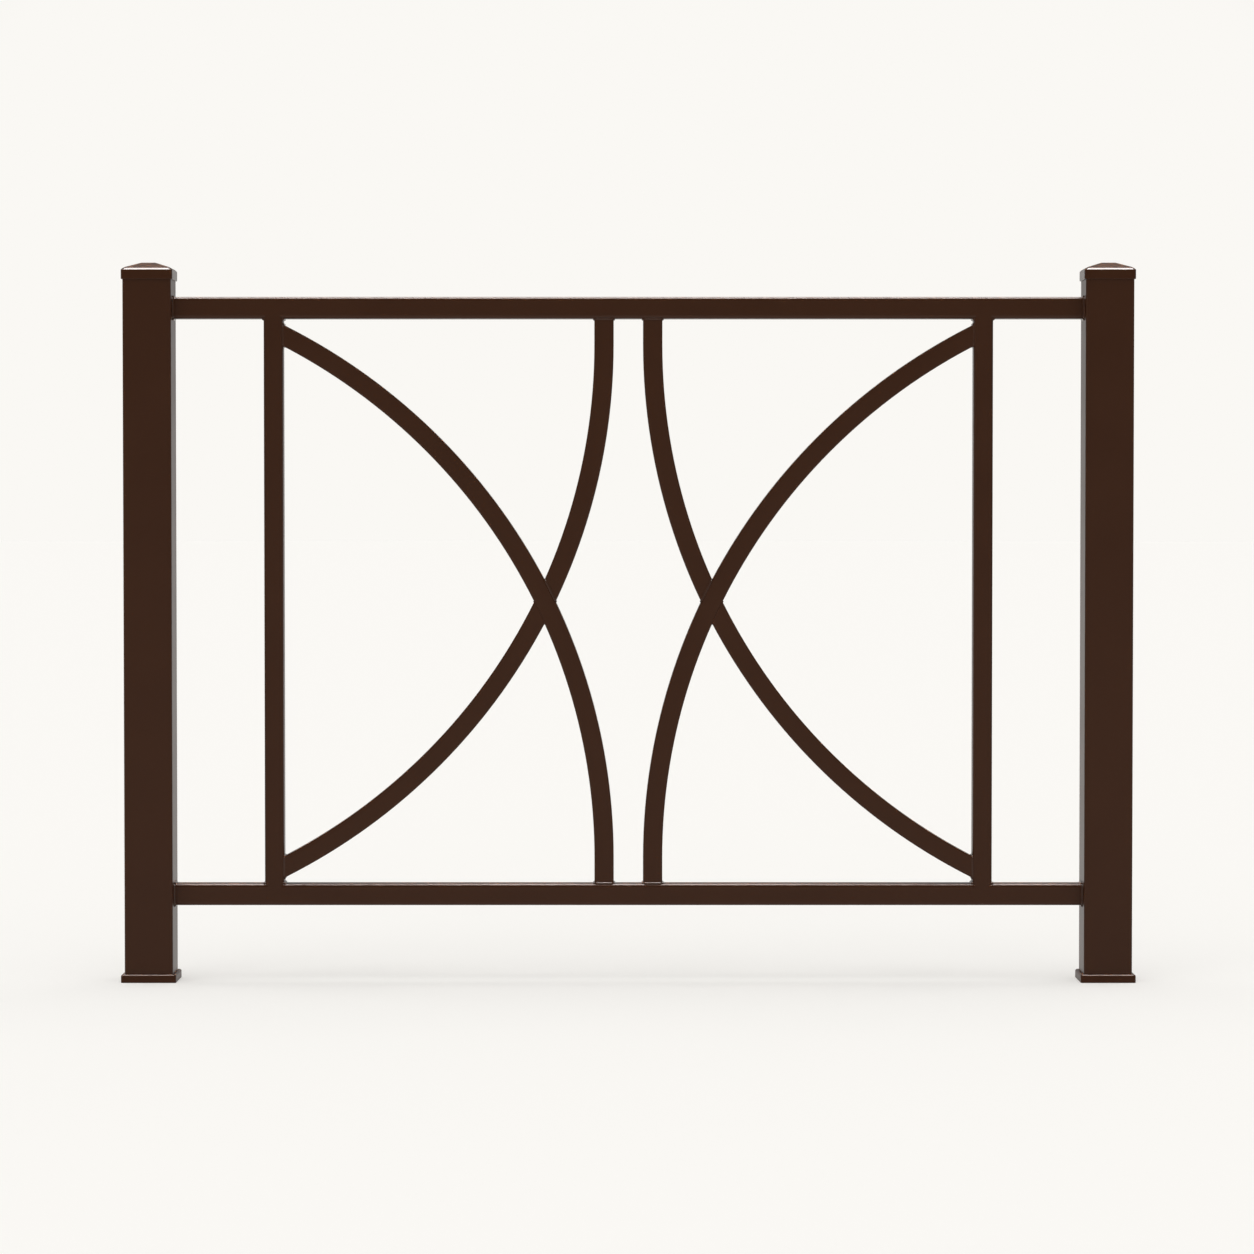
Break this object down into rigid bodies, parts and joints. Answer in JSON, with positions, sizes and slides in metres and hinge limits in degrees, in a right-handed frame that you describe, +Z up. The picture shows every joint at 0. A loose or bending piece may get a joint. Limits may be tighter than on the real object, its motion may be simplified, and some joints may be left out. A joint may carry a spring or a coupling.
{
  "type": "street barrier",
  "caption": "Welded steel street barrier: capped square posts on foot plates, two rails, stiles and crossed rolled bars between them, dark bronze powder coat.",
  "frame": {"origin": "centre of the left foot plate's underside, seen from the front", "axes": "+X along the barrier to the right post, +Y from the front face to the rear face, +Z up"},
  "size_m": [1.3324, 0.0724, 0.945],
  "materials": {
    "powder_coated_tube": "semi-gloss dark bronze powder coat on square steel tube",
    "powder_coated_cap": "semi-gloss dark bronze powder coat on a pressed steel cap",
    "powder_coated_foot": "semi-gloss dark bronze powder coat on a bevelled steel plate",
    "powder_coated_weld": "semi-gloss dark bronze powder coat over a rippled weld bead"
  },
  "bodies": {
    "root": {"top_rail": "powder_coated_tube", "bottom_rail": "powder_coated_tube", "left_post": "powder_coated_tube", "left_post_cap": "powder_coated_cap", "left_post_foot": "powder_coated_foot", "left_stile": "powder_coated_tube", "left_long_bar": "powder_coated_tube", "left_upper_half_bar": "powder_coated_tube", "left_lower_half_bar": "powder_coated_tube", "left_top_rail_weld": "powder_coated_weld", "left_bottom_rail_weld": "powder_coated_weld", "left_stile_top_weld": "powder_coated_weld", "left_stile_bottom_weld": "powder_coated_weld", "left_long_bar_rail_weld": "powder_coated_weld", "left_long_bar_corner_weld": "powder_coated_weld", "left_upper_half_bar_rail_weld": "powder_coated_weld", "left_upper_half_bar_crossing_weld": "powder_coated_weld", "left_lower_half_bar_crossing_weld": "powder_coated_weld", "left_lower_half_bar_corner_weld": "powder_coated_weld", "right_post": "powder_coated_tube", "right_post_cap": "powder_coated_cap", "right_post_foot": "powder_coated_foot", "right_stile": "powder_coated_tube", "right_long_bar": "powder_coated_tube", "right_upper_half_bar": "powder_coated_tube", "right_lower_half_bar": "powder_coated_tube", "right_top_rail_weld": "powder_coated_weld", "right_bottom_rail_weld": "powder_coated_weld", "right_stile_top_weld": "powder_coated_weld", "right_stile_bottom_weld": "powder_coated_weld", "right_long_bar_rail_weld": "powder_coated_weld", "right_long_bar_corner_weld": "powder_coated_weld", "right_upper_half_bar_rail_weld": "powder_coated_weld", "right_upper_half_bar_crossing_weld": "powder_coated_weld", "right_lower_half_bar_crossing_weld": "powder_coated_weld", "right_lower_half_bar_corner_weld": "powder_coated_weld"}
  },
  "joints": []
}
